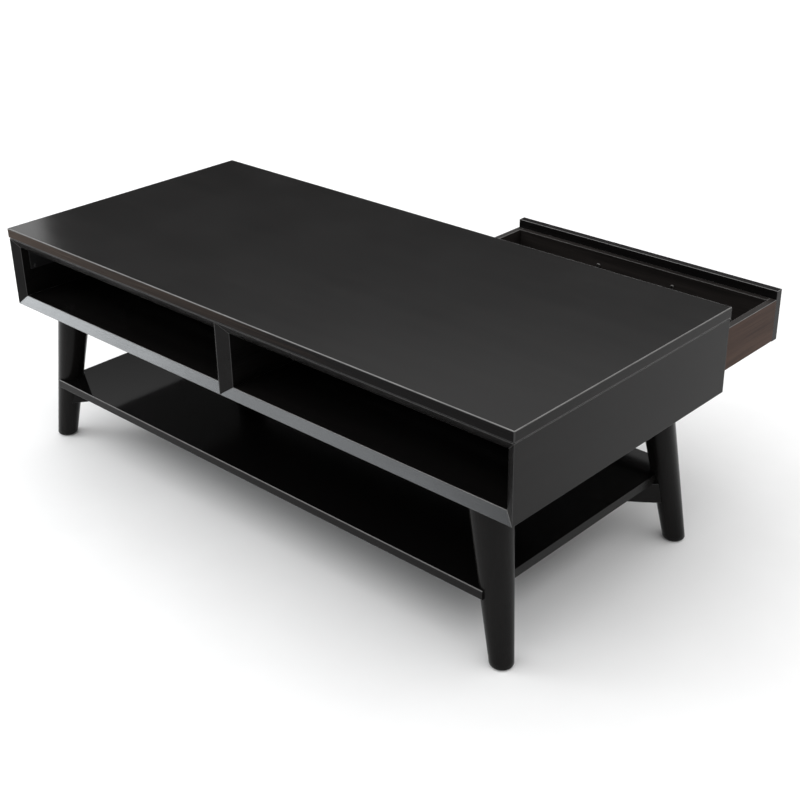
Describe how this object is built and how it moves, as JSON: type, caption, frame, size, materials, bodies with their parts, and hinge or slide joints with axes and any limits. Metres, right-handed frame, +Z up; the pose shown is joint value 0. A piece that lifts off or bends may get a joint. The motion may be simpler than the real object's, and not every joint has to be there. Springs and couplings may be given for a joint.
{
  "type": "lift top coffee table",
  "caption": "Long black coffee table with a lift top, front cubbies, drawers at the back, splayed round legs and a low shelf.",
  "frame": {"origin": "centre of the bounding box on the floor, with the right drawer pulled out as stored", "axes": "+X along the length to the right seen from the cubby side, +Y from the cubbies towards the drawers, +Z up"},
  "size_m": [1.2, 0.776, 0.43],
  "materials": {
    "lacquer": "satin black lacquer over wood grain",
    "drawer_wood": "matt black stained wood",
    "black_steel": "black powder coat",
    "zinc": "bright zinc",
    "nylon": "matt",
    "rubber": "matt",
    "felt": "felt"
  },
  "bodies": {
    "case": {"lift_base_left": "black_steel", "lift_base_right": "black_steel", "lift_base_screws": "black_steel", "base_pivot_pins": "zinc", "pivot_bushes": "nylon", "lift_springs": "zinc", "end_panel_left": "lacquer", "end_panel_right": "lacquer", "bottom_panel": "lacquer", "front_top_rail": "lacquer", "back_top_rail": "lacquer", "front_divider": "lacquer", "partition": "lacquer", "back_divider": "lacquer", "top_bumpers": "rubber", "drawer_bumpers": "rubber", "drawer_stops": "lacquer", "runner_strips": "nylon", "guide_rails": "drawer_wood", "leg_front_left": "lacquer", "leg_front_right": "lacquer", "leg_back_left": "lacquer", "leg_back_right": "lacquer", "leg_bolts": "zinc", "leg_inserts": "zinc", "foot_pads": "felt", "shelf_panel": "lacquer", "shelf_bracket_front_left": "lacquer", "shelf_bracket_front_right": "lacquer", "shelf_bracket_back_left": "lacquer", "shelf_bracket_back_right": "lacquer", "shelf_screws": "zinc"},
    "top": {"tabletop": "lacquer", "top_bracket_left": "black_steel", "top_bracket_right": "black_steel", "top_pivot_pins": "zinc", "top_bracket_screws": "zinc"},
    "rear_arms": {"rear_arm_left": "black_steel", "rear_arm_right": "black_steel", "cross_tube": "black_steel"},
    "front_arm_left": {"front_arm_left": "black_steel"},
    "front_arm_right": {"front_arm_right": "black_steel"},
    "drawer_right": {"right_drawer_front": "lacquer", "right_drawer_subfront": "drawer_wood", "right_drawer_side_outer": "drawer_wood", "right_drawer_side_inner": "drawer_wood", "right_drawer_back": "drawer_wood", "right_drawer_bottom": "drawer_wood", "right_drawer_guide": "nylon", "right_drawer_screws": "zinc", "right_drawer_handle": "black_steel"},
    "drawer_left": {"left_drawer_front": "lacquer", "left_drawer_subfront": "drawer_wood", "left_drawer_side_outer": "drawer_wood", "left_drawer_side_inner": "drawer_wood", "left_drawer_back": "drawer_wood", "left_drawer_bottom": "drawer_wood", "left_drawer_guide": "nylon", "left_drawer_screws": "zinc", "left_drawer_handle": "black_steel"}
  },
  "joints": [
    {"name": "lift_rear_arms", "type": "hinge", "parent": "case", "child": "rear_arms", "pos_m": [0, -0.301, 0.363], "axis": [1, 0, 0], "range_deg": [0, 110]},
    {"name": "lift_front_arm_left", "type": "hinge", "parent": "case", "child": "front_arm_left", "pos_m": [-0.5665, -0.343, 0.391], "axis": [1, 0, 0], "range_deg": [0, 110]},
    {"name": "lift_front_arm_right", "type": "hinge", "parent": "case", "child": "front_arm_right", "pos_m": [0.5665, -0.343, 0.391], "axis": [1, 0, 0], "range_deg": [0, 110]},
    {"name": "lift_top", "type": "hinge", "parent": "rear_arms", "child": "top", "pos_m": [0, -0.14115, 0.36998], "axis": [1, 0, 0], "range_deg": [-110, 0]},
    {"name": "drawer_right_slide", "type": "slide", "parent": "case", "child": "drawer_right", "axis": [0, 1, 0], "range_m": [-0.204, 0.0005]},
    {"name": "drawer_left_slide", "type": "slide", "parent": "case", "child": "drawer_left", "axis": [0, 1, 0], "range_m": [0, 0.2045]}
  ],
  "couplings": [
    {"joint": "lift_front_arm_left", "follows": "lift_rear_arms", "ratio": 1},
    {"joint": "lift_front_arm_right", "follows": "lift_rear_arms", "ratio": 1},
    {"joint": "lift_top", "follows": "lift_rear_arms", "ratio": -1}
  ]
}
